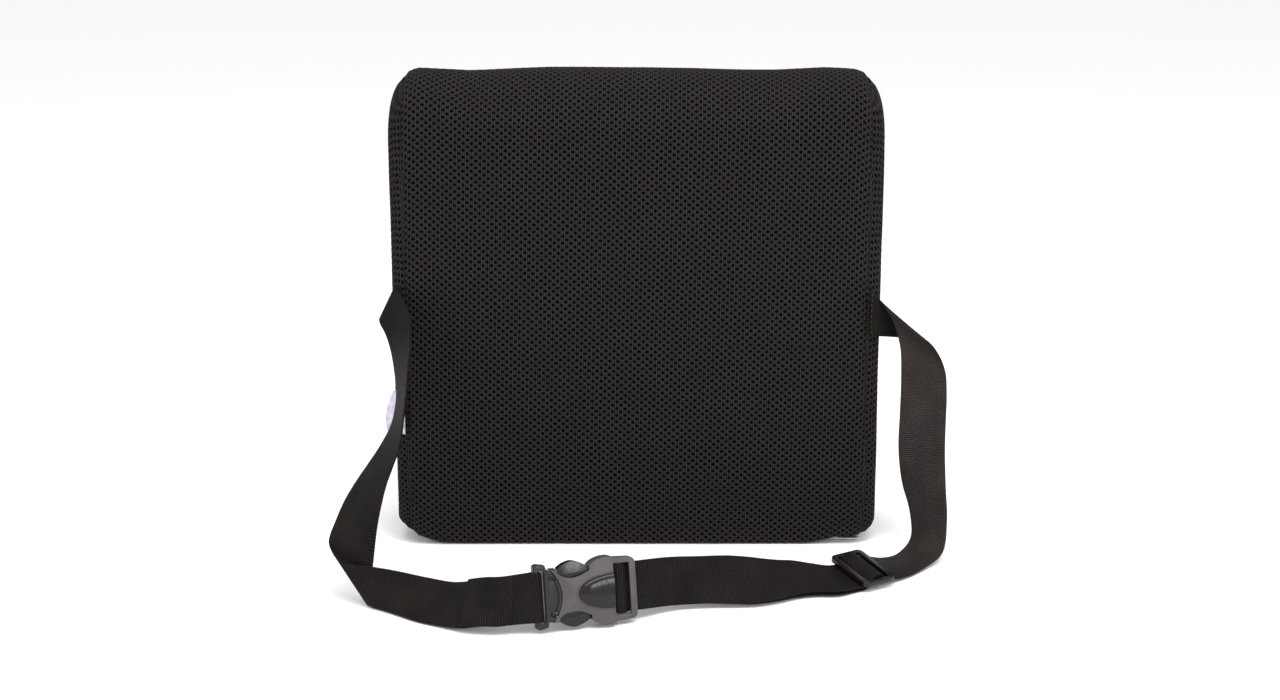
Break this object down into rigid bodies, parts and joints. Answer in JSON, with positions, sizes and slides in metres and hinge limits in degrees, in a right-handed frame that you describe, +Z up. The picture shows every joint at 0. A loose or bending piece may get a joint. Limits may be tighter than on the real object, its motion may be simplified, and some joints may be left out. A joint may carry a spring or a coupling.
{
  "type": "lumbar support cushion",
  "caption": "Black mesh lumbar cushion with a webbing strap, side-release buckle, adjuster and a zipper under its base.",
  "frame": {"origin": "a point on the flat base of the cushion, on its width centre, 48 mm in front of the rear face", "axes": "+Z up, +X to the right as the rear (strap) face is looked at, +Y from the rear face to the curved front that the back leans on"},
  "size_m": [0.4249, 0.2851, 0.34],
  "materials": {
    "mesh_fabric": "matte black 3-D spacer mesh",
    "foam": "open-cell foam",
    "webbing": "woven black webbing",
    "zip_tape": "woven tape",
    "zip_coil": "black nylon coil",
    "zip_metal": "bright plated",
    "label": "white satin tape",
    "buckle_grey": "satin charcoal acetal",
    "buckle_black": "polished black acetal"
  },
  "bodies": {
    "cushion": {"foam_core": "foam", "cover_rear_panel": "mesh_fabric", "cover_front_panel": "mesh_fabric", "cover_side_left": "mesh_fabric", "cover_side_right": "mesh_fabric", "zipper_tape_rear": "zip_tape", "zipper_tape_front": "zip_tape", "zipper_coil_rear": "zip_coil", "zipper_coil_front": "zip_coil", "zipper_top_stop_rear": "zip_metal", "zipper_top_stop_front": "zip_metal", "zipper_bottom_stop": "zip_metal", "care_label": "label", "strap_left": "webbing", "strap_right": "webbing", "buckle_female_body": "buckle_grey"},
    "male_half": {"buckle_male_frame": "buckle_grey"},
    "prong_upper": {"buckle_prong_upper": "buckle_black"},
    "prong_lower": {"buckle_prong_lower": "buckle_black"},
    "slider": {"zipper_slider": "zip_metal"},
    "pull": {"zipper_pull": "zip_metal"},
    "adjuster": {"triglide_slider": "buckle_black"}
  },
  "joints": [
    {"name": "buckle_release", "type": "slide", "parent": "cushion", "child": "male_half", "axis": [-0.9511, -0.309, 0], "range_m": [0, 0.04], "deforming": ["strap_left", "buckle_prong_upper", "buckle_prong_lower"]},
    {"name": "prong_upper_squeeze", "type": "hinge", "parent": "male_half", "child": "prong_upper", "pos_m": [-0.05536, -0.21092, 0.03494], "axis": [-0.3023, 0.9303, -0.2079], "range_deg": [0, 11], "stiffness_Nm_per_rad": 0.35},
    {"name": "prong_lower_squeeze", "type": "hinge", "parent": "male_half", "child": "prong_lower", "pos_m": [-0.05382, -0.21566, 0.01146], "axis": [0.3023, -0.9303, 0.2079], "range_deg": [0, 11], "stiffness_Nm_per_rad": 0.35},
    {"name": "zip_slide", "type": "slide", "parent": "cushion", "child": "slider", "axis": [1, 0, 0], "range_m": [-0.285, 0]},
    {"name": "pull_swing", "type": "hinge", "parent": "slider", "child": "pull", "pos_m": [0.141, -0.0355, 0.00165], "axis": [0, 1, 0], "range_deg": [0, 150]},
    {"name": "adjuster_slide", "type": "slide", "parent": "cushion", "child": "adjuster", "axis": [-0.8211, -0.5708, 0], "range_m": [-0.012, 0.012], "deforming": ["strap_right"]}
  ]
}
